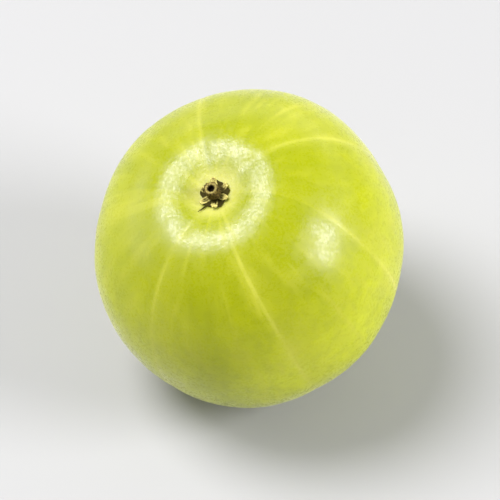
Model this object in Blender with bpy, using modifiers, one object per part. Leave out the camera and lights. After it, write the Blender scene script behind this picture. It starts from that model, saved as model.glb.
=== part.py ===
"""One whole Indian gooseberry (amla), as picked, lying as it came to rest.

Metres, +Z up. The fruit lies on z = 0 with the centre of its body above the origin, and its stem end
leans toward -X and -Y. Every piece hangs on an empty at the fruit's centre, whose +Z is the line from
the blossom end to the stem end.
"""

import bmesh
import bpy
from math import acos
from math import atan2
from math import cos
from math import exp
from math import pi
from math import radians
from math import sin
from mathutils import Matrix
from mathutils import Vector

MM = 0.001

# The fruit: a ball, a little oval across, flatter at its stem end than at its blossom end
FRUIT_WIDTH = 42.2 * MM
STEM_END_HEIGHT = 20.6 * MM
STEM_END_SQUARENESS = 2.25
BLOSSOM_END_HEIGHT = 20.5 * MM
BLOSSOM_END_SQUARENESS = 2.02
OVAL_SHARE = 0.02
OVAL_LONGITUDE = radians(66)

# The six sutures, where the lobes of the fruit meet: the longitude of each about the stem axis
# near its middle, and how far each one bends aside toward the stem
SUTURES = [radians(angle) for angle in (-126.5, -71, -20, 27, 99, 165)]
SUTURE_BENDS = [radians(angle) for angle in (-2.5, -4, 12, 8, 0, 3)]
BEND_REACH = radians(75)
LOBE_HEIGHT = 0.25 * MM
CREASES = [height * MM for height in (-0.06, -0.07, 0.12, -0.08, -0.08, -0.04)]
CREASE_WIDTH = 2.5 * MM
SEAM_DEPTH = 0.03 * MM
SEAM_WIDTH = 0.55 * MM

# Furrows where the sutures cross the rim of the stem hollow, deeper at some sutures than at others
FURROW_DEPTHS = [depth * MM for depth in (0.13, 0.03, 0.02, 0.12, 0.12, 0.03)]
FURROW_WIDTH = 0.75 * MM
FURROW_RADIUS = 6.5 * MM
FURROW_REACH = 1.6 * MM

# The hollow round the stalk and the dimple at the blossom end
HOLLOW_DEPTH = 2.5 * MM
HOLLOW_WIDTH = 5.6 * MM
DIMPLE_DEPTH = 0.7 * MM
DIMPLE_WIDTH = 2.4 * MM

# How the fruit lies, and how deep its weight has pressed the small flat spot under it
LEAN = radians(21.3)
LEAN_TOWARD = radians(-134.5)
FLAT_DEPTH = 0.4 * MM

# Columns of faces in each lobe, rings from end to end, and how far both crowd to where the form turns
LOBE_COLUMNS = 16
RINGS = 44
COLUMN_CROWDING = 0.6
RING_CROWDING = 0.5

# The clearance kept between one piece and the next
GAP = 0.2 * MM

# The calyx: six dried sepals that grow from one small disc, every other one a little higher
SEPALS = 6
SEPAL_LENGTH = 1.35 * MM
SEPAL_WIDTH = 1.45 * MM
SEPAL_THICKNESS = 0.22 * MM
SEPAL_CURL = 0.85 * MM
SEPAL_CUP = 0.16 * MM
SEPAL_ROOT = 0.70 * MM
SEPAL_STEP = 0.07 * MM
CALYX_DISC_RADIUS = 1.25 * MM
CALYX_DISC_THICKNESS = 0.4 * MM

# The broken stalk: a short post with a flared foot and a hollow top
STUB_RADIUS = 1.05 * MM
STUB_HEIGHT = 1.7 * MM
STUB_PITH_RADIUS = 0.42 * MM
STUB_PITH_DEPTH = 0.8 * MM
STUB_RAGGEDNESS = 0.09 * MM
STUB_STEPS = 24

# What is left of the flower at the blossom end: a small button with three short arms
STYLE_RADIUS = 0.5 * MM
STYLE_HEIGHT = 0.4 * MM
STYLE_ARMS = 3
STYLE_ARM_LENGTH = 1.0 * MM


def clear_scene():
    for old in list(bpy.data.objects):
        bpy.data.objects.remove(old, do_unlink=True)


def new_collection(name):
    collection = bpy.data.collections.new(name)
    bpy.context.scene.collection.children.link(collection)
    return collection


def new_material(name, colour, roughness):
    material = bpy.data.materials.new(name)
    material.use_nodes = True
    shader = material.node_tree.nodes["Principled BSDF"]
    shader.inputs["Base Color"].default_value = (*colour, 1)
    shader.inputs["Roughness"].default_value = roughness
    shader.inputs["Metallic"].default_value = 0
    return material


def new_object(name, mesh, collection, material=None):
    made = bpy.data.objects.new(name, mesh)
    collection.objects.link(made)
    if material:
        mesh.materials.append(material)
    return made


def mesh_of(bm, name):
    """A mesh made from a bmesh, which is used up. Its faces are turned to face outward."""
    bm.normal_update()
    bmesh.ops.recalc_face_normals(bm, faces=bm.faces)
    mesh = bpy.data.meshes.new(name)
    bm.to_mesh(mesh)
    bm.free()
    return mesh


def applied(source, name):
    """The mesh of an object with its modifiers applied."""
    bpy.context.view_layer.update()
    graph = bpy.context.evaluated_depsgraph_get()
    mesh = bpy.data.meshes.new_from_object(source.evaluated_get(graph))
    mesh.name = name
    return mesh


def united(parts, name, collection):
    """One object that joins the parts by a Boolean union. The parts are removed."""
    base = parts[0]
    others = bpy.data.collections.new(name + "_parts")
    for part in parts[1:]:
        others.objects.link(part)
    union = base.modifiers.new("union", "BOOLEAN")
    union.operation = "UNION"
    union.solver = "EXACT"
    union.operand_type = "COLLECTION"
    union.collection = others
    mesh = applied(base, name)
    for part in parts:
        bpy.data.objects.remove(part, do_unlink=True)
    bpy.data.collections.remove(others)
    return new_object(name, mesh, collection)


def sutures_at(polar):
    """The longitudes of the six sutures at an angle from the stem end."""
    if polar > BEND_REACH:
        return SUTURES
    share = cos(pi / 2 * polar / BEND_REACH) ** 2
    return [suture + bend * share for suture, bend in zip(SUTURES, SUTURE_BENDS)]


def suture_gap(longitude, polar):
    """Where a point lies in its lobe, from 0 to 1, and its angle to the nearest suture."""
    sutures = sutures_at(polar)
    behind = min((longitude - suture) % (2 * pi) for suture in sutures)
    before = min((suture - longitude) % (2 * pi) for suture in sutures)
    width = behind + before
    if width < 1e-6:
        return 0.0, 0.0
    return behind / width, min(behind, before)


def nearest_suture(longitude, polar):
    gaps = [1 - cos(longitude - suture) for suture in sutures_at(polar)]
    return gaps.index(min(gaps))


def longitude_at(turn, polar):
    """The longitude of a share of a full turn: each lobe has the same number of columns, closest
    together at its two sutures."""
    sutures = sutures_at(polar)
    lobe, across = divmod(turn * len(sutures), 1)
    lobe = int(lobe) % len(sutures)
    across -= COLUMN_CROWDING * sin(2 * pi * across) / (2 * pi)
    start = sutures[lobe]
    width = (sutures[(lobe + 1) % len(sutures)] - start) % (2 * pi)
    return start + across * width


def polar_angle_at(share):
    """The angle from the stem end of a share of the way down, with the rings closest at both ends."""
    return pi * (share - RING_CROWDING * sin(2 * pi * share) / (2 * pi))


def ball_radius(longitude, polar):
    """The fruit without its lobes and hollows: a flattened, slightly oval ball."""
    stem_end = polar < pi / 2
    squareness = STEM_END_SQUARENESS if stem_end else BLOSSOM_END_SQUARENESS
    across = sin(polar) / (FRUIT_WIDTH / 2)
    along = abs(cos(polar)) / (STEM_END_HEIGHT if stem_end else BLOSSOM_END_HEIGHT)
    radius = (across**squareness + along**squareness) ** (-1 / squareness)
    return radius * (1 + OVAL_SHARE * cos(2 * (longitude - OVAL_LONGITUDE)) * sin(polar) ** 2)


def lobe_relief(longitude, polar, off_axis):
    """How far the lobes stand out from the ball, with a low crease or ridge along each suture, a seam in
    it and a furrow where it crosses the rim of the stem hollow."""
    across, angle = suture_gap(longitude, polar)
    number = nearest_suture(longitude, polar)
    aside = angle * off_axis
    relief = LOBE_HEIGHT * (sin(pi * across) ** 2 - 0.5)
    relief += CREASES[number] * exp(-aside / CREASE_WIDTH)
    relief -= SEAM_DEPTH * exp(-((aside / SEAM_WIDTH) ** 2))
    relief *= sin(polar) ** 2
    if polar > pi / 2:
        return relief
    reach = exp(-(((off_axis - FURROW_RADIUS) / FURROW_REACH) ** 2))
    return relief - FURROW_DEPTHS[number] * reach * exp(-((aside / FURROW_WIDTH) ** 2))


def sunk_ends(polar, off_axis):
    """How far the skin is sunk along the axis by the stem hollow or the blossom dimple."""
    if polar < pi / 2:
        return -HOLLOW_DEPTH * exp(-((off_axis / HOLLOW_WIDTH) ** 2))
    return DIMPLE_DEPTH * exp(-((off_axis / DIMPLE_WIDTH) ** 2))


def skin_point(longitude, polar):
    """A point of the skin, about the fruit's centre, with the stem end at +Z."""
    radius = ball_radius(longitude, polar)
    off_axis = radius * sin(polar)
    radius += lobe_relief(longitude, polar, off_axis)
    x = radius * sin(polar) * cos(longitude)
    y = radius * sin(polar) * sin(longitude)
    z = radius * cos(polar) + sunk_ends(polar, off_axis)
    return Vector((x, y, z))


def fruit_mesh():
    bm = bmesh.new()
    columns = LOBE_COLUMNS * len(SUTURES)
    bmesh.ops.create_uvsphere(bm, u_segments=columns, v_segments=RINGS, radius=1)
    for vertex in bm.verts:
        turn = (atan2(vertex.co.y, vertex.co.x) / (2 * pi)) % 1
        polar = polar_angle_at(acos(max(-1, min(1, vertex.co.z))) / pi)
        vertex.co = skin_point(longitude_at(turn, polar), polar)
    return mesh_of(bm, "fruit")


def lean_matrix():
    """Turns +Z over toward the side that the stem end leans to."""
    axis = Vector((-sin(LEAN_TOWARD), cos(LEAN_TOWARD), 0))
    return Matrix.Rotation(LEAN, 4, axis)


def flat_spot_cutter(collection):
    """A block whose top is the surface that the fruit lies on."""
    bm = bmesh.new()
    bmesh.ops.create_cube(bm, size=FRUIT_WIDTH)
    cutter = new_object("flat_spot_cutter", mesh_of(bm, "flat_spot_cutter"), collection)
    cutter.location.z = -FRUIT_WIDTH / 2
    cutter.display_type = "WIRE"
    cutter.hide_render = True
    return cutter


def make_fruit(collection, cutters):
    """The fruit, and the empty at its centre that every piece hangs on."""
    mesh = fruit_mesh()
    lean = lean_matrix()
    lowest = min((lean @ vertex.co).z for vertex in mesh.vertices)
    centre = bpy.data.objects.new("fruit_centre", None)
    collection.objects.link(centre)
    centre.matrix_world = Matrix.Translation((0, 0, -lowest - FLAT_DEPTH)) @ lean
    skin = new_material("amla_skin", (0.52, 0.58, 0.03), 0.35)
    fruit = new_object("fruit", mesh, collection, skin)
    fruit.parent = centre
    cut = fruit.modifiers.new("flat_spot", "BOOLEAN")
    cut.operation = "DIFFERENCE"
    cut.solver = "EXACT"
    cut.object = flat_spot_cutter(cutters)
    return centre


def sepal(number, collection):
    """One dried sepal along +X: a blunt, cupped leaf whose tip curls up."""
    bm = bmesh.new()
    bmesh.ops.create_grid(bm, x_segments=7, y_segments=4, size=1)
    length = SEPAL_LENGTH * (1 + 0.08 * sin(2.4 * number))
    for vertex in bm.verts:
        along = (vertex.co.x + 1) / 2
        across = vertex.co.y
        half_width = SEPAL_WIDTH / 2 * sin(pi * (0.22 + 0.64 * along)) ** 0.6
        rise = SEPAL_CURL * along**2 * (1 + 0.25 * sin(1.9 * number))
        rise += SEPAL_CUP * across**2 * (0.4 + 0.6 * along)
        vertex.co = Vector((SEPAL_ROOT + length * along, across * half_width, rise))
    made = new_object("sepal", mesh_of(bm, "sepal"), collection)
    made.rotation_euler.z = 2 * pi * number / SEPALS + 0.09 * sin(3.1 * number)
    made.location.z = CALYX_DISC_THICKNESS / 2 + SEPAL_STEP * (number % 2)
    solid = made.modifiers.new("thickness", "SOLIDIFY")
    solid.thickness = SEPAL_THICKNESS
    solid.offset = 0
    return made


def make_calyx(collection, centre):
    """Six sepals round a small disc, joined, on the floor of the stem hollow."""
    bm = bmesh.new()
    bmesh.ops.create_cone(
        bm,
        cap_ends=True,
        segments=36,
        radius1=CALYX_DISC_RADIUS * 0.9,
        radius2=CALYX_DISC_RADIUS,
        depth=CALYX_DISC_THICKNESS,
    )
    bmesh.ops.translate(bm, verts=bm.verts, vec=(0, 0, CALYX_DISC_THICKNESS / 2))
    disc = new_object("calyx_disc", mesh_of(bm, "calyx_disc"), collection)
    parts = [disc] + [sepal(number, collection) for number in range(SEPALS)]
    calyx = united(parts, "calyx", collection)
    calyx.data.materials.clear()
    calyx.data.materials.append(new_material("dry_sepal", (0.36, 0.30, 0.09), 0.75))
    calyx.parent = centre
    calyx.location.z = skin_point(0, 0).z + GAP
    return calyx


def stub_profile():
    """Half the stub's outline, from the bottom of its hollow top, over the rim and down to its foot."""
    return [
        (0, STUB_HEIGHT - STUB_PITH_DEPTH),
        (STUB_PITH_RADIUS * 0.8, STUB_HEIGHT - STUB_PITH_DEPTH * 0.9),
        (STUB_PITH_RADIUS, STUB_HEIGHT - STUB_PITH_DEPTH * 0.3),
        (STUB_RADIUS * 0.60, STUB_HEIGHT),
        (STUB_RADIUS * 0.88, STUB_HEIGHT * 0.98),
        (STUB_RADIUS * 0.95, STUB_HEIGHT * 0.80),
        (STUB_RADIUS * 0.82, STUB_HEIGHT * 0.45),
        (STUB_RADIUS * 0.92, STUB_HEIGHT * 0.15),
        (STUB_RADIUS, 0),
        (0, 0),
    ]


def turned(name, profile, steps, collection):
    """A closed solid of revolution, from a profile that starts and ends on the axis."""
    mesh = bpy.data.meshes.new(name)
    points = [(x, 0, z) for x, z in profile]
    edges = [(index, index + 1) for index in range(len(points) - 1)]
    mesh.from_pydata(points, edges, [])
    lathe = new_object(name, mesh, collection)
    screw = lathe.modifiers.new("turn", "SCREW")
    screw.steps = steps
    screw.render_steps = steps
    screw.use_merge_vertices = True
    screw.merge_threshold = 0.00001
    return lathe


def make_stub(collection, centre, foot_height):
    """The broken end of the stalk, standing on the calyx, its rim a little ragged."""
    lathe = turned("stalk_stub_outline", stub_profile(), STUB_STEPS, collection)
    mesh = applied(lathe, "stalk_stub")
    bpy.data.objects.remove(lathe, do_unlink=True)
    for vertex in mesh.vertices:
        angle = atan2(vertex.co.y, vertex.co.x)
        off_axis = vertex.co.xy.length / STUB_RADIUS
        height = vertex.co.z / STUB_HEIGHT
        vertex.co.z += STUB_RAGGEDNESS * height**2 * off_axis * sin(3 * angle + 1.2)
        vertex.co.xy *= 1 + 0.05 * off_axis * sin(5 * angle + 2 * height)
    stub = new_object("stalk_stub", mesh, collection, new_material("broken_stalk", (0.10, 0.06, 0.02), 0.8))
    stub.parent = centre
    stub.location.z = foot_height
    return stub


def style_arm(number, collection):
    """A short tapering arm, lying flat, with its root inside the button."""
    bm = bmesh.new()
    bmesh.ops.create_cone(
        bm,
        cap_ends=True,
        segments=10,
        radius1=STYLE_HEIGHT * 0.42,
        radius2=STYLE_HEIGHT * 0.15,
        depth=STYLE_ARM_LENGTH,
    )
    bmesh.ops.translate(bm, verts=bm.verts, vec=(0, 0, STYLE_ARM_LENGTH / 2))
    bmesh.ops.rotate(bm, verts=bm.verts, matrix=Matrix.Rotation(pi / 2, 3, "Y"))
    arm = new_object("style_arm", mesh_of(bm, "style_arm"), collection)
    arm.rotation_euler.z = 2 * pi * number / STYLE_ARMS
    return arm


def make_style_remnant(collection, centre):
    """A button with three arms under the blossom end, clear of the skin by the gap."""
    bm = bmesh.new()
    bmesh.ops.create_cone(
        bm,
        cap_ends=True,
        segments=24,
        radius1=STYLE_RADIUS * 0.8,
        radius2=STYLE_RADIUS,
        depth=STYLE_HEIGHT,
    )
    button = new_object("style_button", mesh_of(bm, "style_button"), collection)
    parts = [button] + [style_arm(number, collection) for number in range(STYLE_ARMS)]
    remnant = united(parts, "style_remnant", collection)
    remnant.data.materials.clear()
    remnant.data.materials.append(new_material("dry_style", (0.16, 0.11, 0.04), 0.8))
    remnant.parent = centre
    remnant.location.z = skin_point(0, pi).z - GAP - STYLE_HEIGHT / 2
    return remnant


def main():
    clear_scene()
    collection = new_collection("indian_gooseberry")
    cutters = new_collection("cutters")
    cutters.hide_render = True
    centre = make_fruit(collection, cutters)
    calyx = make_calyx(collection, centre)
    make_stub(collection, centre, calyx.location.z + CALYX_DISC_THICKNESS + GAP)
    make_style_remnant(collection, centre)
    bpy.context.view_layer.update()


main()
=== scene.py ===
"""The looks of one whole Indian gooseberry (amla), lying as it came to rest.

Metres, +Z up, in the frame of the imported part. The fruit's form is the part's own, with the same named
sizes, in a finer mesh that adds low relief, most of it on the rim of the stem hollow. Its skin is waxy
and a little translucent, with pale sutures and fainter streaks that run from end to end.
"""

from math import atan2
from math import cos
from math import exp
from math import pi
from math import radians
from math import sin
from math import tau

import bmesh
import bpy
from mathutils import Matrix
from mathutils import Vector
from mathutils import noise


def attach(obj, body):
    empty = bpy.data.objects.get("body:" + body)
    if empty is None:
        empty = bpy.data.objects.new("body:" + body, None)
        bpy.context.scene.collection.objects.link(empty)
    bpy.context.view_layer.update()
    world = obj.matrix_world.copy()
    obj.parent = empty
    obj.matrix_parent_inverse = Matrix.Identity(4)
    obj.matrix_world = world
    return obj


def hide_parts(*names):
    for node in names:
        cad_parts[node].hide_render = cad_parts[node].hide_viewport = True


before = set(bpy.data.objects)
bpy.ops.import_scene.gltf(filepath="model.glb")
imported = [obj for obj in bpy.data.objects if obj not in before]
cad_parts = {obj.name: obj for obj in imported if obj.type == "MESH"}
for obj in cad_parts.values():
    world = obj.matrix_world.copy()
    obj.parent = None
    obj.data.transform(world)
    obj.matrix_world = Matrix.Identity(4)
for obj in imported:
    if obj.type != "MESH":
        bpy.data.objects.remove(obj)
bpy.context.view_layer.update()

MM = 0.001
BODY = "root"

# The form of the fruit: a ball, a little oval across, flatter at its stem end than at its blossom end
FRUIT_WIDTH = 42.2 * MM
STEM_END_HEIGHT = 20.6 * MM
STEM_END_SQUARENESS = 2.25
BLOSSOM_END_HEIGHT = 20.5 * MM
BLOSSOM_END_SQUARENESS = 2.02
OVAL_SHARE = 0.02
OVAL_LONGITUDE = radians(66)

# The six sutures, where the lobes of the fruit meet: the longitude of each about the stem axis
# near its middle, and how far each one bends aside toward the stem. A crease along a suture is below
# the lobes, and a ridge above them
SUTURES = [radians(angle) for angle in (-126.5, -71, -20, 27, 99, 165)]
SUTURE_BENDS = [radians(angle) for angle in (-2.5, -4, 12, 8, 0, 3)]
BEND_REACH = radians(75)
LOBE_HEIGHT = 0.25 * MM
CREASES = [height * MM for height in (-0.06, -0.07, 0.12, -0.08, -0.08, -0.04)]
CREASE_WIDTH = 2.5 * MM
SEAM_DEPTH = 0.03 * MM
SEAM_WIDTH = 0.55 * MM

# Furrows where the sutures cross the rim of the stem hollow, deeper at some sutures than at others
FURROW_DEPTHS = [depth * MM for depth in (0.13, 0.03, 0.02, 0.12, 0.12, 0.03)]
FURROW_WIDTH = 0.75 * MM
FURROW_RADIUS = 6.5 * MM
FURROW_REACH = 1.6 * MM

# The hollow round the stalk and the dimple at the blossom end
HOLLOW_DEPTH = 2.5 * MM
HOLLOW_WIDTH = 5.6 * MM
DIMPLE_DEPTH = 0.7 * MM
DIMPLE_WIDTH = 2.4 * MM

# How the fruit lies, and how deep its weight has pressed the small flat spot under it
LEAN = radians(21.3)
LEAN_TOWARD = radians(-134.5)
FLAT_DEPTH = 0.4 * MM

# How clearly each suture shows as a pale line, how far from the stem axis the line starts, and how
# much it comes and goes along its length
LINE_STRENGTHS = (0.6, 0.8, 1.2, 1.1, 0.6, 0.15)
LINE_STARTS = [start * MM for start in (9.0, 7.4, 13.0, 7.6, 6.2, 9.0)]
LINE_FADE = 3.0 * MM
LINE_MEAN = 0.8
LINE_SWING = 0.6
LINE_LEAST = 0.1

# The finer mesh of the skin, and its low relief
LOBE_COLUMNS = 52
RINGS = 170
COLUMN_CROWDING = 0.85
RING_CROWDING = 0.5
WAVE_HEIGHT = 0.09 * MM
WAVE_SIZE = 5.5 * MM
RIPPLE_HEIGHT = 0.022 * MM
RIPPLE_SIZE = 1.9 * MM

# The unevenness of the rim of the stem hollow
RIM_RIPPLE_HEIGHT = 0.035 * MM
RIM_RIPPLE_SIZE = 1.5 * MM
RIM_RADIUS = 6.5 * MM
RIM_REACH = 3.0 * MM

# The calyx: six dried sepals on a corky disc, dark partly with painted shade between the sepals, and a
# withered thread beside them
SEPALS = 6
SEPAL_LENGTH = 1.40 * MM
SEPAL_WIDTH = 0.95 * MM
SEPAL_THICKNESS = 0.18 * MM
SEPAL_CURL = 0.45 * MM
SEPAL_CUP = 0.10 * MM
SEPAL_ROOT = 0.70 * MM
SEPAL_STEP = 0.07 * MM
SEPAL_FOLD = 0.05 * MM
SEPAL_CRUMPLE = 0.12 * MM
CALYX_DISC_RADIUS = 1.95 * MM
CALYX_DISC_THICKNESS = 0.34 * MM
CALYX_VOXEL = 0.04 * MM
CALYX_ROUGHNESS = 0.03 * MM
CALYX_GRAIN = 0.25 * MM
THREAD_LONGITUDE = radians(-130)
THREAD_RADIUS = 0.17 * MM
THREAD_REACH = 3.4 * MM
THREAD_WAVE = 0.08 * MM
THREAD_LIFT = 0.06 * MM
THREAD_TIP_LIFT = 0.1 * MM

# The broken stalk
STUB_RADIUS = 1.05 * MM
STUB_HEIGHT = 1.7 * MM
STUB_PITH_RADIUS = 0.42 * MM
STUB_PITH_DEPTH = 0.8 * MM
STUB_FOOT_HEIGHT = 0.62 * MM
STUB_STEPS = 120
STUB_FRAYING = 0.16 * MM
STUB_RAGGEDNESS = 0.09 * MM
STUB_ROUGHNESS = 0.035 * MM
STUB_GRAIN = 0.22 * MM

# The dried style at the blossom end
STYLE_RADIUS = 0.5 * MM
STYLE_HEIGHT = 0.4 * MM
STYLE_ARMS = 3
STYLE_ARM_LENGTH = 1.0 * MM
STYLE_VOXEL = 0.035 * MM
STYLE_ROUGHNESS = 0.05 * MM
STYLE_GRAIN = 0.3 * MM

# The camera: at the photo's angle, with a field of view that frames the fruit
CAMERA_ELEVATION = radians(50)
CAMERA_DISTANCE = 0.6
FIELD_WIDTH = 68 * MM
SENSOR_WIDTH = 36

# The floor and the room
FLOOR_RADIUS = 3
FLOOR_DROP = 0.02 * MM
FLOOR_COLOUR = (0.38, 0.396, 0.335, 1)
FLOOR_ROUGHNESS = 0.9
FLOOR_SPECULAR = 0.1
ROOM_BRIGHTNESS = 0.28

# The lamps: the name of each, its direction from the fruit, its width and height, and how bright it is.
# The first two light the rim of the stem hollow, the third makes the highlight on the right, and the
# panels are wide and dim
LAMPS = [
    ("key_box", (-0.444, 0.106, 0.889), 0.46, 0.45, 19.2),
    ("near_box", (-0.639, 0.025, 0.770), 0.44, 0.44, 3.8),
    ("side_box", (0.826, -0.260, 0.505), 0.37, 0.44, 21.0),
    ("left_panel", (-0.95, 0.20, 0.25), 0.90, 0.36, 2.8),
    ("right_panel", (0.80, 0.35, 0.42), 0.50, 0.36, 1.2),
    ("low_panel", (0.96, -0.22, 0.15), 0.50, 0.24, 1.9),
    ("back_panel", (0.05, 0.90, 0.34), 1.60, 0.40, 1.5),
]
LAMP_DISTANCE = 0.8
LAMP_COLOUR = (0.86, 0.815, 1.0)


# Form of the fruit


def sutures_at(polar):
    """The longitudes of the six sutures at an angle from the stem end."""
    if polar > BEND_REACH:
        return SUTURES
    share = cos(pi / 2 * polar / BEND_REACH) ** 2
    return [suture + bend * share for suture, bend in zip(SUTURES, SUTURE_BENDS)]


def suture_gap(longitude, polar):
    """Where a point lies in its lobe, from 0 to 1, and its angle to the nearest suture."""
    sutures = sutures_at(polar)
    behind = min((longitude - suture) % tau for suture in sutures)
    before = min((suture - longitude) % tau for suture in sutures)
    width = behind + before
    if width < 1e-6:
        return 0.0, 0.0
    return behind / width, min(behind, before)


def nearest_suture(longitude, polar):
    gaps = [1 - cos(longitude - suture) for suture in sutures_at(polar)]
    return gaps.index(min(gaps))


def longitude_at(turn, polar):
    """The longitude of a share of a full turn: each lobe has the same number of columns, closest
    together at its two sutures."""
    sutures = sutures_at(polar)
    lobe, across = divmod(turn * len(sutures), 1)
    lobe = int(lobe) % len(sutures)
    across -= COLUMN_CROWDING * sin(tau * across) / tau
    start = sutures[lobe]
    width = (sutures[(lobe + 1) % len(sutures)] - start) % tau
    return start + across * width


def polar_angle_at(share):
    """The angle from the stem end of a share of the way down, with the rings closest at both ends."""
    return pi * (share - RING_CROWDING * sin(tau * share) / tau)


def ball_radius(longitude, polar):
    """The fruit without its lobes and hollows: a flattened, slightly oval ball."""
    stem_end = polar < pi / 2
    squareness = STEM_END_SQUARENESS if stem_end else BLOSSOM_END_SQUARENESS
    across = sin(polar) / (FRUIT_WIDTH / 2)
    along = abs(cos(polar)) / (STEM_END_HEIGHT if stem_end else BLOSSOM_END_HEIGHT)
    radius = (across**squareness + along**squareness) ** (-1 / squareness)
    return radius * (1 + OVAL_SHARE * cos(2 * (longitude - OVAL_LONGITUDE)) * sin(polar) ** 2)


def lobe_relief(longitude, polar, off_axis):
    """How far the lobes stand out from the ball, with a low crease or ridge along each suture, a seam in
    it and a furrow where it crosses the rim of the stem hollow."""
    across, angle = suture_gap(longitude, polar)
    number = nearest_suture(longitude, polar)
    aside = angle * off_axis
    relief = LOBE_HEIGHT * (sin(pi * across) ** 2 - 0.5)
    relief += CREASES[number] * exp(-aside / CREASE_WIDTH)
    relief -= SEAM_DEPTH * exp(-((aside / SEAM_WIDTH) ** 2))
    relief *= sin(polar) ** 2
    if polar > pi / 2:
        return relief
    reach = exp(-(((off_axis - FURROW_RADIUS) / FURROW_REACH) ** 2))
    return relief - FURROW_DEPTHS[number] * reach * exp(-((aside / FURROW_WIDTH) ** 2))


def sunk_ends(polar, off_axis):
    """How far the skin is sunk along the axis by the stem hollow or the blossom dimple."""
    if polar < pi / 2:
        return -HOLLOW_DEPTH * exp(-((off_axis / HOLLOW_WIDTH) ** 2))
    return DIMPLE_DEPTH * exp(-((off_axis / DIMPLE_WIDTH) ** 2))


def skin_point(longitude, polar):
    """A point of the skin, about the fruit's centre, with the stem end at +Z."""
    radius = ball_radius(longitude, polar)
    off_axis = radius * sin(polar)
    radius += lobe_relief(longitude, polar, off_axis)
    x = radius * sin(polar) * cos(longitude)
    y = radius * sin(polar) * sin(longitude)
    z = radius * cos(polar) + sunk_ends(polar, off_axis)
    return Vector((x, y, z))


def line_strength(longitude, polar, off_axis):
    """How clearly the nearest suture shows here. It comes and goes along its length."""
    number = nearest_suture(longitude, polar)
    begun = min(1, max(0, (off_axis - LINE_STARTS[number]) / LINE_FADE))
    if polar > pi / 2:
        begun = 1
    wavering = LINE_MEAN + LINE_SWING * noise.noise(Vector((number * 4.7, polar * 3.5, 0.5)))
    return LINE_STRENGTHS[number] * begun * min(1, max(LINE_LEAST, wavering))


def low_relief(point):
    """The slow waves and fine ripples of a grown surface, most uneven on the rim of the stem hollow."""
    waves = noise.noise(point / WAVE_SIZE) * WAVE_HEIGHT
    ripples = noise.noise(point / RIPPLE_SIZE) * RIPPLE_HEIGHT
    if point.z > 0:
        rim = exp(-(((point.xy.length - RIM_RADIUS) / RIM_REACH) ** 2))
        ripples += noise.noise(point / RIM_RIPPLE_SIZE) * RIM_RIPPLE_HEIGHT * rim
    return point.normalized() * (waves + ripples)


# Meshes


def mesh_of(bm, name):
    """A mesh made from a bmesh, which is used up. Its faces are turned to face outward."""
    bm.normal_update()
    bmesh.ops.recalc_face_normals(bm, faces=bm.faces)
    mesh = bpy.data.meshes.new(name)
    bm.to_mesh(mesh)
    bm.free()
    return mesh


def new_object(name, mesh):
    made = bpy.data.objects.new(name, mesh)
    bpy.context.scene.collection.objects.link(made)
    return made


def applied(source, name):
    """The mesh of an object with its modifiers applied. The object is removed."""
    bpy.context.view_layer.update()
    graph = bpy.context.evaluated_depsgraph_get()
    mesh = bpy.data.meshes.new_from_object(source.evaluated_get(graph))
    mesh.name = name
    bpy.data.objects.remove(source, do_unlink=True)
    return mesh


def fused(meshes, voxel, name):
    """Several closed meshes, already in place, made into one grown-together body."""
    bm = bmesh.new()
    for mesh in meshes:
        bm.from_mesh(mesh)
    lump = new_object(name + "_lump", mesh_of(bm, name + "_lump"))
    remesh = lump.modifiers.new("fuse", "REMESH")
    remesh.mode = "VOXEL"
    remesh.voxel_size = voxel
    mesh = applied(lump, name)
    for old in meshes:
        bpy.data.meshes.remove(old)
    return mesh


def roughened(mesh, height, size, seed):
    """Moves the points of a mesh along their normals by a noise."""
    shift = Vector((seed, 2 * seed, 3 * seed))
    moves = [vertex.normal * noise.noise(vertex.co / size + shift) * height for vertex in mesh.vertices]
    for vertex, move in zip(mesh.vertices, moves):
        vertex.co += move


def keep_at_points(mesh, name, kind, field, values):
    """Keeps a value at each point of a mesh, for its material to read."""
    mesh.attributes.new(name, kind, "POINT").data.foreach_set(field, values)


def skin_mesh():
    """The fine mesh of the fruit. Each point keeps its distance to the nearest suture, how clearly that
    suture shows, its share of the way across its lobe and its meridian."""
    bm = bmesh.new()
    columns = LOBE_COLUMNS * len(SUTURES)
    bmesh.ops.create_uvsphere(bm, u_segments=columns, v_segments=RINGS, radius=1)
    gaps = []
    shares = []
    strengths = []
    meridians = []
    for vertex in bm.verts:
        turn = (atan2(vertex.co.y, vertex.co.x) / tau) % 1
        share = atan2(vertex.co.xy.length, vertex.co.z) / pi
        polar = polar_angle_at(share)
        longitude = longitude_at(turn, polar)
        point = skin_point(longitude, polar)
        vertex.co = point + low_relief(point)
        across, angle = suture_gap(longitude, polar)
        gaps.append(angle * point.xy.length)
        shares.append(across)
        strengths.append(line_strength(longitude, polar, point.xy.length))
        meridians.extend((cos(longitude), sin(longitude), polar))
    mesh = mesh_of(bm, "fruit_skin")
    keep_at_points(mesh, "suture_distance", "FLOAT", "value", gaps)
    keep_at_points(mesh, "lobe_share", "FLOAT", "value", shares)
    keep_at_points(mesh, "line_strength", "FLOAT", "value", strengths)
    keep_at_points(mesh, "meridian", "FLOAT_VECTOR", "vector", meridians)
    mesh.shade_smooth()
    return mesh


def resting_place(mesh):
    """Where the fruit's own frame lies: leaning, and low enough for its flat spot."""
    lean = Matrix.Rotation(LEAN, 4, Vector((-sin(LEAN_TOWARD), cos(LEAN_TOWARD), 0)))
    lowest = min((lean @ vertex.co).z for vertex in mesh.vertices)
    return Matrix.Translation((0, 0, -lowest - FLAT_DEPTH)) @ lean


def press_flat(mesh, place):
    """Flattens what would lie below the surface that the fruit rests on."""
    back = place.inverted()
    for vertex in mesh.vertices:
        world = place @ vertex.co
        if world.z < 0:
            world.z = 0
            vertex.co = back @ world


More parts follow.
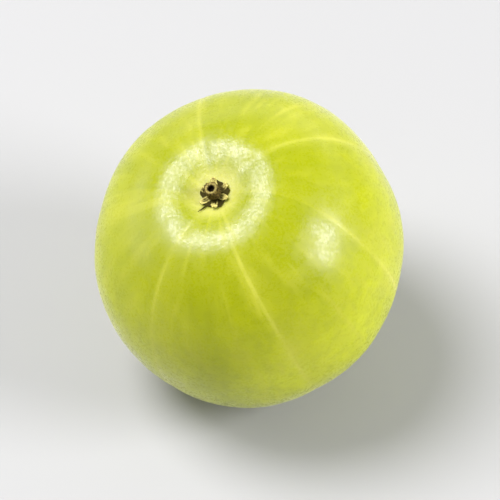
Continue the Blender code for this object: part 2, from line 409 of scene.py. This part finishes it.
def sepal_mesh(number):
    """One dried sepal along +X: blunt, cupped and crumpled, with a curled ragged tip."""
    bm = bmesh.new()
    bmesh.ops.create_grid(bm, x_segments=24, y_segments=16, size=1)
    length = SEPAL_LENGTH * (1 + 0.08 * sin(2.4 * number))
    for vertex in bm.verts:
        along = (vertex.co.x + 1) / 2
        across = vertex.co.y
        ragged = noise.noise(Vector((across * 2.5, along * 3, number * 7.3)))
        half_width = SEPAL_WIDTH / 2 * sin(pi * (0.22 + 0.64 * along)) ** 0.6
        half_width *= 1 + 0.22 * ragged * along
        reach = length * along * (1 + 0.14 * noise.noise(Vector((across * 3, number * 5.1, 0))) * along)
        rise = SEPAL_CURL * along**2 * (1 + 0.25 * sin(1.9 * number))
        rise += SEPAL_CUP * across**2 * (0.4 + 0.6 * along)
        rise += SEPAL_FOLD * cos(3 * pi * across) * along
        rise += SEPAL_CRUMPLE * along * noise.noise(Vector((across * 1.7, along * 2.2, number * 3.7)))
        vertex.co = Vector((SEPAL_ROOT + reach, across * half_width, rise))
    made = new_object("sepal", mesh_of(bm, "sepal"))
    solid = made.modifiers.new("thickness", "SOLIDIFY")
    solid.thickness = SEPAL_THICKNESS
    solid.offset = 0
    mesh = applied(made, "sepal")
    turn = Matrix.Rotation(tau * (number + 0.5) / SEPALS + 0.09 * sin(3.1 * number), 4, "Z")
    height = CALYX_DISC_THICKNESS * 0.6 + SEPAL_STEP * (number % 2)
    mesh.transform(Matrix.Translation((0, 0, height)) @ turn)
    return mesh


def calyx_disc_mesh():
    """The corky disc under the sepals, following the dish of the hollow."""
    bm = bmesh.new()
    bmesh.ops.create_uvsphere(bm, u_segments=48, v_segments=24, radius=1)
    for vertex in bm.verts:
        angle = atan2(vertex.co.y, vertex.co.x)
        radius = CALYX_DISC_RADIUS * (1 + 0.07 * sin(5 * angle + 1) + 0.05 * sin(9 * angle))
        off_axis = vertex.co.xy.length * radius
        dish = dish_height(off_axis)
        vertex.co.x *= radius
        vertex.co.y *= radius
        vertex.co.z = vertex.co.z * CALYX_DISC_THICKNESS / 2 + CALYX_DISC_THICKNESS * 0.3 + dish
    return mesh_of(bm, "calyx_disc")


def dish_height(off_axis):
    """How far the skin has risen above the middle of the stem hollow."""
    return HOLLOW_DEPTH * (1 - exp(-((off_axis / HOLLOW_WIDTH) ** 2)))


def thread_mesh():
    """The withered thread: a thin tapering strand that lies on the skin and curls up at its tip."""
    bm = bmesh.new()
    bmesh.ops.create_uvsphere(bm, u_segments=16, v_segments=32, radius=1)
    start = CALYX_DISC_RADIUS * 0.6
    for vertex in bm.verts:
        along = (vertex.co.z + 1) / 2
        off_axis = start + (THREAD_REACH - start) * along
        radius = THREAD_RADIUS * (1.1 - 0.7 * along)
        aside = vertex.co.y * radius + THREAD_WAVE * sin(5 * along)
        rise = vertex.co.x * radius + dish_height(off_axis) + THREAD_LIFT + THREAD_TIP_LIFT * along**4
        vertex.co = Vector((off_axis, aside, rise))
    bmesh.ops.rotate(bm, verts=bm.verts, matrix=Matrix.Rotation(THREAD_LONGITUDE, 3, "Z"))
    return mesh_of(bm, "thread")


def calyx_mesh():
    """The sepals, their disc and the thread, grown together."""
    parts = [calyx_disc_mesh(), thread_mesh()] + [sepal_mesh(number) for number in range(SEPALS)]
    mesh = fused(parts, CALYX_VOXEL, "calyx")
    roughened(mesh, CALYX_ROUGHNESS, CALYX_GRAIN, seed=4)
    mesh.shade_smooth()
    return mesh


def stub_profile():
    """Half the stub's outline, from the bottom of its hollow top, over the rim and down to its foot."""
    return [
        (0, STUB_HEIGHT - STUB_PITH_DEPTH),
        (STUB_PITH_RADIUS * 0.5, STUB_HEIGHT - STUB_PITH_DEPTH),
        (STUB_PITH_RADIUS * 0.8, STUB_HEIGHT - STUB_PITH_DEPTH * 0.9),
        (STUB_PITH_RADIUS * 0.95, STUB_HEIGHT - STUB_PITH_DEPTH * 0.6),
        (STUB_PITH_RADIUS, STUB_HEIGHT - STUB_PITH_DEPTH * 0.3),
        (STUB_RADIUS * 0.50, STUB_HEIGHT * 0.97),
        (STUB_RADIUS * 0.62, STUB_HEIGHT),
        (STUB_RADIUS * 0.78, STUB_HEIGHT * 0.99),
        (STUB_RADIUS * 0.90, STUB_HEIGHT * 0.95),
        (STUB_RADIUS * 0.95, STUB_HEIGHT * 0.88),
        (STUB_RADIUS * 0.93, STUB_HEIGHT * 0.75),
        (STUB_RADIUS * 0.85, STUB_HEIGHT * 0.60),
        (STUB_RADIUS * 0.82, STUB_HEIGHT * 0.45),
        (STUB_RADIUS * 0.86, STUB_HEIGHT * 0.28),
        (STUB_RADIUS * 0.95, STUB_HEIGHT * 0.12),
        (STUB_RADIUS, 0),
        (STUB_RADIUS * 0.5, -0.1 * MM),
        (0, -0.1 * MM),
    ]


def stub_mesh():
    """The broken stalk, turned from its profile, then made fibrous and ragged."""
    outline = bpy.data.meshes.new("stub_outline")
    points = [(x, 0, z) for x, z in stub_profile()]
    edges = [(index, index + 1) for index in range(len(points) - 1)]
    outline.from_pydata(points, edges, [])
    lathe = new_object("stub_outline", outline)
    screw = lathe.modifiers.new("turn", "SCREW")
    screw.steps = STUB_STEPS
    screw.render_steps = STUB_STEPS
    screw.use_merge_vertices = True
    screw.merge_threshold = 0.000001
    smooth = lathe.modifiers.new("smooth", "SUBSURF")
    smooth.levels = 1
    smooth.render_levels = 1
    mesh = applied(lathe, "stalk_stub")
    for vertex in mesh.vertices:
        angle = atan2(vertex.co.y, vertex.co.x)
        off_axis = vertex.co.xy.length / STUB_RADIUS
        height = vertex.co.z / STUB_HEIGHT
        fibres = sin(17 * angle + 3 * height) + 0.6 * sin(29 * angle - 2 * height)
        around = Vector((cos(angle) * 2.5, sin(angle) * 2.5, height * 2))
        vertex.co.z += STUB_FRAYING * height**3 * off_axis * noise.noise(around)
        vertex.co.z += STUB_RAGGEDNESS * height**2 * off_axis * sin(3 * angle + 1.2)
        vertex.co.xy *= 1 + 0.05 * off_axis * sin(5 * angle + 2 * height) + 0.018 * fibres * off_axis
    roughened(mesh, STUB_ROUGHNESS, STUB_GRAIN, seed=9)
    mesh.shade_smooth()
    return mesh


def style_arm_mesh(number):
    """A short tapering arm, lying flat, with its root inside the button."""
    bm = bmesh.new()
    bmesh.ops.create_cone(
        bm,
        cap_ends=True,
        segments=24,
        radius1=STYLE_HEIGHT * 0.42,
        radius2=STYLE_HEIGHT * 0.15,
        depth=STYLE_ARM_LENGTH,
    )
    bmesh.ops.translate(bm, verts=bm.verts, vec=(0, 0, STYLE_ARM_LENGTH / 2))
    bmesh.ops.rotate(bm, verts=bm.verts, matrix=Matrix.Rotation(pi / 2, 3, "Y"))
    bmesh.ops.rotate(bm, verts=bm.verts, matrix=Matrix.Rotation(tau * number / STYLE_ARMS, 3, "Z"))
    return mesh_of(bm, "style_arm")


def style_mesh():
    """A button with three short arms."""
    bm = bmesh.new()
    bmesh.ops.create_uvsphere(bm, u_segments=32, v_segments=16, radius=1)
    bmesh.ops.scale(bm, verts=bm.verts, vec=(STYLE_RADIUS, STYLE_RADIUS, STYLE_HEIGHT / 2))
    parts = [mesh_of(bm, "style_button")] + [style_arm_mesh(number) for number in range(STYLE_ARMS)]
    mesh = fused(parts, STYLE_VOXEL, "style_remnant")
    roughened(mesh, STYLE_ROUGHNESS, STYLE_GRAIN, seed=13)
    mesh.shade_smooth()
    return mesh


# Materials


class Shader:
    """One material, built node by node."""

    def __init__(self, name):
        self.material = bpy.data.materials.new(name)
        self.material.use_nodes = True
        self.tree = self.material.node_tree
        self.surface = self.tree.nodes["Principled BSDF"]

    def feed(self, socket, value):
        if isinstance(value, bpy.types.NodeSocket):
            self.tree.links.new(value, socket)
        else:
            socket.default_value = value

    def node(self, kind, values, **settings):
        made = self.tree.nodes.new(kind)
        for name, setting in settings.items():
            setattr(made, name, setting)
        for socket, value in values.items():
            self.feed(made.inputs[socket], value)
        return made

    def place(self):
        """The piece's own coordinates, in metres."""
        return self.attribute("own_place", "Vector")

    def attribute(self, name, output):
        return self.node("ShaderNodeAttribute", {}, attribute_name=name).outputs[output]

    def math(self, operation, *values):
        return self.node("ShaderNodeMath", dict(enumerate(values)), operation=operation).outputs[0]

    def noise(self, where, scale, detail=2.0, roughness=0.5, distortion=0.0):
        values = {"Vector": where, "Scale": scale, "Detail": detail}
        values |= {"Roughness": roughness, "Distortion": distortion}
        return self.node("ShaderNodeTexNoise", values).outputs[0]

    def fit(self, value, low, high, to_low=0.0, to_high=1.0):
        """Takes low to high smoothly to the new range, and holds it beyond."""
        values = {0: value, 1: low, 2: high, 3: to_low, 4: to_high}
        return self.node("ShaderNodeMapRange", values, interpolation_type="SMOOTHSTEP").outputs[0]

    def blend(self, share, first, second):
        values = {0: share, 6: first, 7: second}
        return self.node("ShaderNodeMix", values, data_type="RGBA").outputs[2]

    def stretched(self, where, scales):
        made = self.node("ShaderNodeMapping", {"Vector": where})
        made.inputs["Scale"].default_value = scales
        return made.outputs[0]

    def parts(self, vector):
        return self.node("ShaderNodeSeparateXYZ", {"Vector": vector}).outputs

    def off_axis(self, place):
        """The distance from the stem axis."""
        x, y, _ = self.parts(place)
        squares = self.math("ADD", self.math("MULTIPLY", x, x), self.math("MULTIPLY", y, y))
        return self.math("SQRT", squares)

    def bump(self, height, distance, normal=None):
        values = {"Height": height, "Distance": distance, "Strength": 1.0}
        if normal:
            values["Normal"] = normal
        return self.node("ShaderNodeBump", values).outputs[0]

    def finish(self, colour, roughness, normal):
        self.feed(self.surface.inputs["Base Color"], colour)
        self.feed(self.surface.inputs["Roughness"], roughness)
        self.feed(self.surface.inputs["Normal"], normal)
        return self.material


# The skin's colours
DEEP_GREEN = (0.240, 0.287, 0.001, 1)
FRESH_GREEN = (0.290, 0.332, 0.001, 1)
# Painted fill light: the lighter green toward the blossom end, which lies underneath
PAINTED_FILL_GREEN = (0.475, 0.535, 0.001, 1)
# Pale streaks, and painted shading on the side just past each suture
STREAK_AND_SHADING_PALE = (0.48, 0.50, 0.035, 1)
SUTURE_PALE = (0.62, 0.63, 0.090, 1)
STEM_PALE = (0.58, 0.59, 0.12, 1)
SPECK_GREEN = (0.15, 0.19, 0.002, 1)

# How much of each colour shows where it shows most
LONG_PATCH_SHARE = 0.5
SMALL_PATCH_SHARE = 0.18
GRAIN_SHARE = 0.28
STREAK_SHARE = 0.3
WATERY_SHARE = 0.26
# Painted shading: how much paler the side just past each suture is
PAINTED_SHADING_SHARE = 0.16
LINE_SHARE = 0.5
HALO_SHARE = 0.15
STEM_SHARE = 0.68
SPECK_SHARE = 0.6

# How fine each noise of the skin is, in features a metre, or in features a radian for the long patches,
# the two kinds of streak and the watery patches, which run from end to end
LONG_PATCH_FINENESS = 3.0
SMALL_PATCH_FINENESS = 230
COLOUR_GRAIN_FINENESS = 800
BROAD_STREAK_FINENESS = 12
FINE_STREAK_FINENESS = 24
STREAK_PATCH_FINENESS = 90
WATERY_FINENESS = 5.5
LINE_WANDER_FINENESS = 420
SPECK_FINENESS = 260
GRAIN_FINENESS = 2600
PORE_FINENESS = 900
PIT_FINENESS = 1500
GLOSS_FINENESS = 2400
BLOOM_FINENESS = 420

# How fine those four are along the meridians, as a share of how fine they are across them
LONG_PATCH_STRETCH = 0.6
BROAD_STREAK_STRETCH = 0.16
FINE_STREAK_STRETCH = 0.14
WATERY_STRETCH = 0.5

# The range that most values of a noise lie in
NOISE_LOW = 0.35
NOISE_HIGH = 0.65

# The share of the cells of the speck pattern that hold no speck
CELLS_WITHOUT_SPECK = 0.85

# How wide a suture's pale line and its halo are, how far the line wanders, and how far the pale skin
# round the calyx reaches
LINE_WIDTH = 0.45 * MM
LINE_CORE = 0.02 * MM
HALO_WIDTH = 1.2 * MM
LINE_WANDER = 0.12 * MM
STEM_PALE_START = 2.0 * MM
STEM_PALE_END = 4.8 * MM

# The skin's fine relief, which is strongest on and round the rim of the stem hollow
GRAIN_HEIGHT = 0.005 * MM
PORE_HEIGHT = 0.008 * MM
PIT_HEIGHT = 0.045 * MM
PITS_FULL = 6.5 * MM
PITS_END = 11.0 * MM

# The skin's shine: its roughness varies finely, and a little more in patches of bloom
GLOSS_LOW = 0.19
GLOSS_HIGH = 0.37
BLOOM_ROUGHNESS = 0.08
SKIN_IOR = 1.40
SHEEN = 0.15
SHEEN_ROUGHNESS = 0.3

# The share of light that goes through the flesh, how far it goes, and the parts of that for red, green
# and blue
FLESH_SHARE = 0.4
FLESH_DEPTH = 3.0 * MM
FLESH_REACH = (1.0, 0.95, 0.22)

# The colours, the relief and the shine of the calyx, the stalk and the style
SEPAL_KHAKI = (0.36, 0.31, 0.06, 1)
SEPAL_STRAW = (0.68, 0.64, 0.18, 1)
SEPAL_BLOTCH = (0.10, 0.07, 0.008, 1)
# Partly the disc's own brown, partly painted shade between the sepals
DISC_BROWN_AND_SHADE = (0.036, 0.030, 0.001, 1)
BARK_DARK = (0.022, 0.016, 0.002, 1)
BARK_PALE = (0.15, 0.11, 0.02, 1)
BROKEN_DARK = (0.15, 0.12, 0.02, 1)
BROKEN_PALE = (0.38, 0.33, 0.09, 1)
# Painted shade in the stub's hollow top
HOLLOW_PAINTED_SHADE = (0.012, 0.008, 0.001, 1)
STYLE_DARK = (0.06, 0.045, 0.01, 1)
STYLE_PALE = (0.24, 0.20, 0.07, 1)
FIBRE_HEIGHT = 0.03 * MM
SEPAL_FIBRE_FINENESS = 5200
SEPAL_BLOTCH_FINENESS = 1600
SEPAL_BLOTCH_SHARE = 0.6
STALK_FIBRE_FINENESS = 5000
STALK_FIBRE_STRETCH = 0.35
STYLE_FIBRE_FINENESS = 5000
DRY_SPECULAR = 0.15
DRY_ROUGHNESS = 0.8
BARK_ROUGHNESS = 0.85


def ground_colour(shader, place, meridian):
    """Yellow-green, with long and small deeper patches and fine grains. Painted fill light: lighter toward
    the blossom end, which lies underneath, with fewer long patches there.
    """
    polar = shader.parts(meridian)[2]
    colour = shader.blend(shader.fit(polar, 0.5, 1.5), FRESH_GREEN, PAINTED_FILL_GREEN)
    where = shader.stretched(meridian, (1, 1, LONG_PATCH_STRETCH))
    long_patches = shader.noise(where, LONG_PATCH_FINENESS, detail=5, roughness=0.6, distortion=0.4)
    small_patches = shader.noise(place, SMALL_PATCH_FINENESS, detail=2)
    long_share = shader.fit(long_patches, 0.32, 0.62, LONG_PATCH_SHARE, 0)
    # Painted fill light: fewer deep patches underneath
    near_stem = shader.fit(polar, 0.8, 1.4, 1, 0.15)
    colour = shader.blend(shader.math("MULTIPLY", long_share, near_stem), colour, DEEP_GREEN)
    colour = shader.blend(shader.fit(small_patches, 0.35, 0.6, SMALL_PATCH_SHARE, 0), colour, DEEP_GREEN)
    grains = shader.noise(place, COLOUR_GRAIN_FINENESS, detail=3, roughness=0.6)
    return shader.blend(shader.fit(grains, 0.35, 0.6, GRAIN_SHARE, 0), colour, DEEP_GREEN)


def streak_and_shading_share(shader, place, meridian):
    """Faint pale streaks that run from end to end, watery patches, and painted shading: a paler side past
    each suture, as if lit differently.
    """
    polar = shader.parts(meridian)[2]
    where = shader.stretched(meridian, (1, 1, BROAD_STREAK_STRETCH))
    broad = shader.noise(where, BROAD_STREAK_FINENESS, detail=2, distortion=0.15)
    where = shader.stretched(meridian, (1, 1, FINE_STREAK_STRETCH))
    fine = shader.noise(where, FINE_STREAK_FINENESS, detail=4, roughness=0.65, distortion=0.1)
    patches = shader.noise(place, STREAK_PATCH_FINENESS, detail=2)
    broad_share = shader.fit(broad, 0.5, 0.72, 0, STREAK_SHARE)
    fine_share = shader.fit(fine, 0.52, 0.72, 0, STREAK_SHARE)
    streaks = shader.math("ADD", broad_share, fine_share)
    streaks = shader.math("MULTIPLY", streaks, shader.fit(patches, 0.4, 0.65, 0.1, 1))
    streaks = shader.math("MULTIPLY", streaks, shader.fit(polar, 0.35, 0.95, 0.06, 1))
    where = shader.stretched(meridian, (1, 1, WATERY_STRETCH))
    watery = shader.noise(where, WATERY_FINENESS, detail=2, distortion=0.3)
    streaks = shader.math("ADD", streaks, shader.fit(watery, 0.5, 0.7, 0, WATERY_SHARE))
    # Painted shading: the skin just past each suture is paler, as if lit differently across it
    painted_shading = shader.fit(shader.attribute("lobe_share", "Fac"), 0.0, 0.45, PAINTED_SHADING_SHARE, 0)
    return shader.math("ADD", streaks, painted_shading)


def suture_share(shader, place):
    """How pale the sutures are: thin wandering lines in a faint halo."""
    wander = shader.noise(place, LINE_WANDER_FINENESS, detail=2)
    distance = shader.attribute("suture_distance", "Fac")
    near = shader.math("ADD", distance, shader.math("MULTIPLY", wander, -LINE_WANDER))
    line = shader.fit(near, LINE_CORE, LINE_WIDTH, LINE_SHARE, 0)
    halo = shader.fit(near, 0.0, HALO_WIDTH, HALO_SHARE, 0)
    strength = shader.attribute("line_strength", "Fac")
    return shader.math("MULTIPLY", shader.math("MAXIMUM", line, halo), strength)


def speck_share(shader, place):
    """A few tiny dark-green specks."""
    cells = shader.node("ShaderNodeTexVoronoi", {"Vector": place, "Scale": SPECK_FINENESS})
    chosen = shader.node("ShaderNodeSeparateColor", {"Color": cells.outputs["Color"]}).outputs[0]
    round_specks = shader.fit(cells.outputs["Distance"], 0.03, 0.09, SPECK_SHARE, 0)
    return shader.math("MULTIPLY", round_specks, shader.math("GREATER_THAN", chosen, CELLS_WITHOUT_SPECK))


def skin_colour(shader, place):
    """The ground with its painted fill light, its streaks and painted shading, its sutures, the pale skin
    round the calyx and the specks on it.
    """
    meridian = shader.attribute("meridian", "Vector")
    off_axis = shader.off_axis(place)
    colour = ground_colour(shader, place, meridian)
    colour = shader.blend(streak_and_shading_share(shader, place, meridian), colour, STREAK_AND_SHADING_PALE)
    colour = shader.blend(suture_share(shader, place), colour, SUTURE_PALE)
    round_stem = shader.fit(off_axis, STEM_PALE_START, STEM_PALE_END, STEM_SHARE, 0)
    colour = shader.blend(round_stem, colour, STEM_PALE)
    return shader.blend(speck_share(shader, place), colour, SPECK_GREEN)


def skin_relief(shader, place):
    """The pores and the grain of the skin, with coarser pits on the rim of the stem hollow."""
    grain = shader.noise(place, GRAIN_FINENESS, detail=2, roughness=0.6)
    pores = shader.noise(place, PORE_FINENESS, detail=2)
    normal = shader.bump(grain, GRAIN_HEIGHT, shader.bump(pores, PORE_HEIGHT))
    pits = shader.noise(place, PIT_FINENESS, detail=3, roughness=0.6)
    pitted = shader.fit(shader.off_axis(place), PITS_FULL, PITS_END, 1, 0)
    return shader.bump(shader.math("MULTIPLY", pits, pitted), PIT_HEIGHT, normal)


def skin_gloss(shader, place):
    """The roughness of the waxy skin, speckled, and rougher where it has a bloom."""
    speckle = shader.noise(place, GLOSS_FINENESS, detail=2, roughness=0.7)
    bloom = shader.noise(place, BLOOM_FINENESS, detail=2)
    shine = shader.fit(speckle, NOISE_LOW, NOISE_HIGH, GLOSS_LOW, GLOSS_HIGH)
    return shader.math("ADD", shine, shader.fit(bloom, NOISE_LOW, NOISE_HIGH, 0, BLOOM_ROUGHNESS))


def skin_material():
    """Waxy skin over flesh that lets a little light through."""
    shader = Shader("amla_skin")
    place = shader.place()
    surface = shader.surface.inputs
    surface["Subsurface Weight"].default_value = FLESH_SHARE
    surface["Subsurface Radius"].default_value = FLESH_REACH
    surface["Subsurface Scale"].default_value = FLESH_DEPTH
    surface["IOR"].default_value = SKIN_IOR
    surface["Sheen Weight"].default_value = SHEEN
    surface["Sheen Roughness"].default_value = SHEEN_ROUGHNESS
    colour = skin_colour(shader, place)
    return shader.finish(colour, skin_gloss(shader, place), skin_relief(shader, place))


def sepal_material():
    """Khaki sepals over a corky disc, told apart by height; the disc's dark brown is partly its own and
    partly painted shade between the sepals.
    """
    shader = Shader("dry_sepal")
    place = shader.place()
    off_axis = shader.off_axis(place)
    dish = shader.math("MULTIPLY", shader.math("POWER", off_axis, 2), HOLLOW_DEPTH / HOLLOW_WIDTH**2)
    above = shader.math("SUBTRACT", shader.parts(place)[2], dish)
    fibres = shader.noise(place, SEPAL_FIBRE_FINENESS, detail=3, roughness=0.65)
    blotch = shader.noise(place, SEPAL_BLOTCH_FINENESS, detail=2)
    khaki = shader.blend(shader.fit(fibres, NOISE_LOW, NOISE_HIGH), SEPAL_KHAKI, SEPAL_STRAW)
    khaki = shader.blend(shader.fit(blotch, 0.58, 0.75, 0, SEPAL_BLOTCH_SHARE), khaki, SEPAL_BLOTCH)
    raised = shader.fit(above, CALYX_DISC_THICKNESS * 0.75, CALYX_DISC_THICKNESS * 1.15)
    # The disc's dark brown is partly painted shade in the gaps between the sepals
    colour = shader.blend(raised, DISC_BROWN_AND_SHADE, khaki)
    shader.surface.inputs["Specular IOR Level"].default_value = DRY_SPECULAR
    return shader.finish(colour, DRY_ROUGHNESS, shader.bump(fibres, FIBRE_HEIGHT))


def stalk_material():
    """Brown bark round a khaki broken face; the hollow top is near-black, painted shade in the recess."""
    shader = Shader("broken_stalk")
    place = shader.place()
    off_axis = shader.off_axis(place)
    where = shader.stretched(place, (1, 1, STALK_FIBRE_STRETCH))
    fibres = shader.noise(where, STALK_FIBRE_FINENESS, detail=3, roughness=0.7)
    bark = shader.blend(shader.fit(fibres, NOISE_LOW, NOISE_HIGH), BARK_DARK, BARK_PALE)
    broken = shader.blend(shader.fit(fibres, 0.35, 0.7), BROKEN_DARK, BROKEN_PALE)
    top = shader.fit(shader.parts(place)[2], STUB_HEIGHT * 0.86, STUB_HEIGHT * 0.97)
    rim = shader.fit(off_axis, STUB_RADIUS * 0.70, STUB_RADIUS * 0.86, 1, 0)
    top = shader.math("MULTIPLY", top, rim)
    colour = shader.blend(top, bark, broken)
    # Painted shade: the hollow top and its edge painted near-black
    hollow = shader.fit(off_axis, STUB_PITH_RADIUS * 0.90, STUB_PITH_RADIUS * 1.45, 1, 0)
    colour = shader.blend(hollow, colour, HOLLOW_PAINTED_SHADE)
    shader.surface.inputs["Specular IOR Level"].default_value = DRY_SPECULAR
    return shader.finish(colour, BARK_ROUGHNESS, shader.bump(fibres, FIBRE_HEIGHT))


def style_material():
    """Dry brown fibres."""
    shader = Shader("dry_style")
    place = shader.place()
    fibres = shader.noise(place, STYLE_FIBRE_FINENESS, detail=3, roughness=0.65)
    colour = shader.blend(shader.fit(fibres, NOISE_LOW, NOISE_HIGH), STYLE_DARK, STYLE_PALE)
    return shader.finish(colour, DRY_ROUGHNESS, shader.bump(fibres, FIBRE_HEIGHT))


# Pieces


def dress(name, mesh, material, node, place):
    """A piece that stands for one node of the part, put in its place. Its own coordinates are kept at
    each point, because its material is laid out in them."""
    own = [value for vertex in mesh.vertices for value in vertex.co]
    keep_at_points(mesh, "own_place", "FLOAT_VECTOR", "vector", own)
    mesh.transform(place)
    mesh.materials.clear()
    mesh.materials.append(material)
    piece = new_object(name, mesh)
    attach(piece, BODY)
    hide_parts(node)
    return piece


def make_pieces():
    """The fruit with its calyx, stub and style. Returns the place of the fruit's own frame."""
    skin = skin_mesh()
    place = resting_place(skin)
    press_flat(skin, place)
    dress("fruit_skin", skin, skin_material(), "fruit", place)
    floor_of_hollow = skin_point(0, 0).z
    calyx_place = place @ Matrix.Translation((0, 0, floor_of_hollow))
    dress("dried_calyx", calyx_mesh(), sepal_material(), "calyx", calyx_place)
    stub_place = calyx_place @ Matrix.Translation((0, 0, STUB_FOOT_HEIGHT))
    dress("broken_stalk_end", stub_mesh(), stalk_material(), "stalk_stub", stub_place)
    blossom_end = skin_point(0, pi).z
    style_place = place @ Matrix.Translation((0, 0, blossom_end - STYLE_HEIGHT * 0.6))
    dress("dried_style", style_mesh(), style_material(), "style_remnant", style_place)
    return place


# Stage, lights and camera


def make_floor():
    """A wide matt floor, a little under the fruit."""
    bm = bmesh.new()
    bmesh.ops.create_circle(bm, cap_ends=True, segments=96, radius=FLOOR_RADIUS)
    floor = new_object("floor", mesh_of(bm, "floor"))
    floor.location.z = -FLOOR_DROP
    shader = Shader("pale_floor")
    surface = shader.surface.inputs
    surface["Base Color"].default_value = FLOOR_COLOUR
    surface["Roughness"].default_value = FLOOR_ROUGHNESS
    surface["Specular IOR Level"].default_value = FLOOR_SPECULAR
    floor.data.materials.append(shader.material)


def soft_box(name, direction, width, height, radiance, target):
    """An oval area light at a direction from the target, facing it, as bright all over as radiance."""
    lamp = bpy.data.lights.new(name, "AREA")
    lamp.shape = "ELLIPSE"
    lamp.size = width
    lamp.size_y = height
    lamp.color = LAMP_COLOUR
    lamp.energy = radiance * pi * (pi / 4 * width * height)
    made = bpy.data.objects.new(name, lamp)
    bpy.context.scene.collection.objects.link(made)
    away = Vector(direction).normalized()
    made.location = target + away * LAMP_DISTANCE
    made.rotation_euler = away.to_track_quat("Z", "Y").to_euler()
    made.visible_camera = False


def make_lights(target):
    """The lamps, all round the target, in a pale room."""
    world = bpy.data.worlds.new("studio")
    bpy.context.scene.world = world
    world.use_nodes = True
    background = world.node_tree.nodes["Background"]
    background.inputs["Color"].default_value = (1, 1, 1, 1)
    background.inputs["Strength"].default_value = ROOM_BRIGHTNESS
    for name, direction, width, height, radiance in LAMPS:
        soft_box(name, direction, width, height, radiance, target)


def make_camera(target):
    """The camera, looking down at the target from the front."""
    data = bpy.data.cameras.new("camera")
    data.sensor_width = SENSOR_WIDTH
    data.lens = SENSOR_WIDTH * CAMERA_DISTANCE / FIELD_WIDTH
    camera = bpy.data.objects.new("camera", data)
    bpy.context.scene.collection.objects.link(camera)
    back = Vector((0, -cos(CAMERA_ELEVATION), sin(CAMERA_ELEVATION)))
    camera.location = target + back * CAMERA_DISTANCE
    camera.rotation_euler = back.to_track_quat("Z", "Y").to_euler()
    bpy.context.scene.camera = camera


def make_scene():
    """The dressed fruit on its floor, with the lamps and the camera turned to its middle."""
    place = make_pieces()
    make_floor()
    target = place.translation.copy()
    make_lights(target)
    make_camera(target)
    bpy.context.scene.view_settings.view_transform = "Standard"


make_scene()
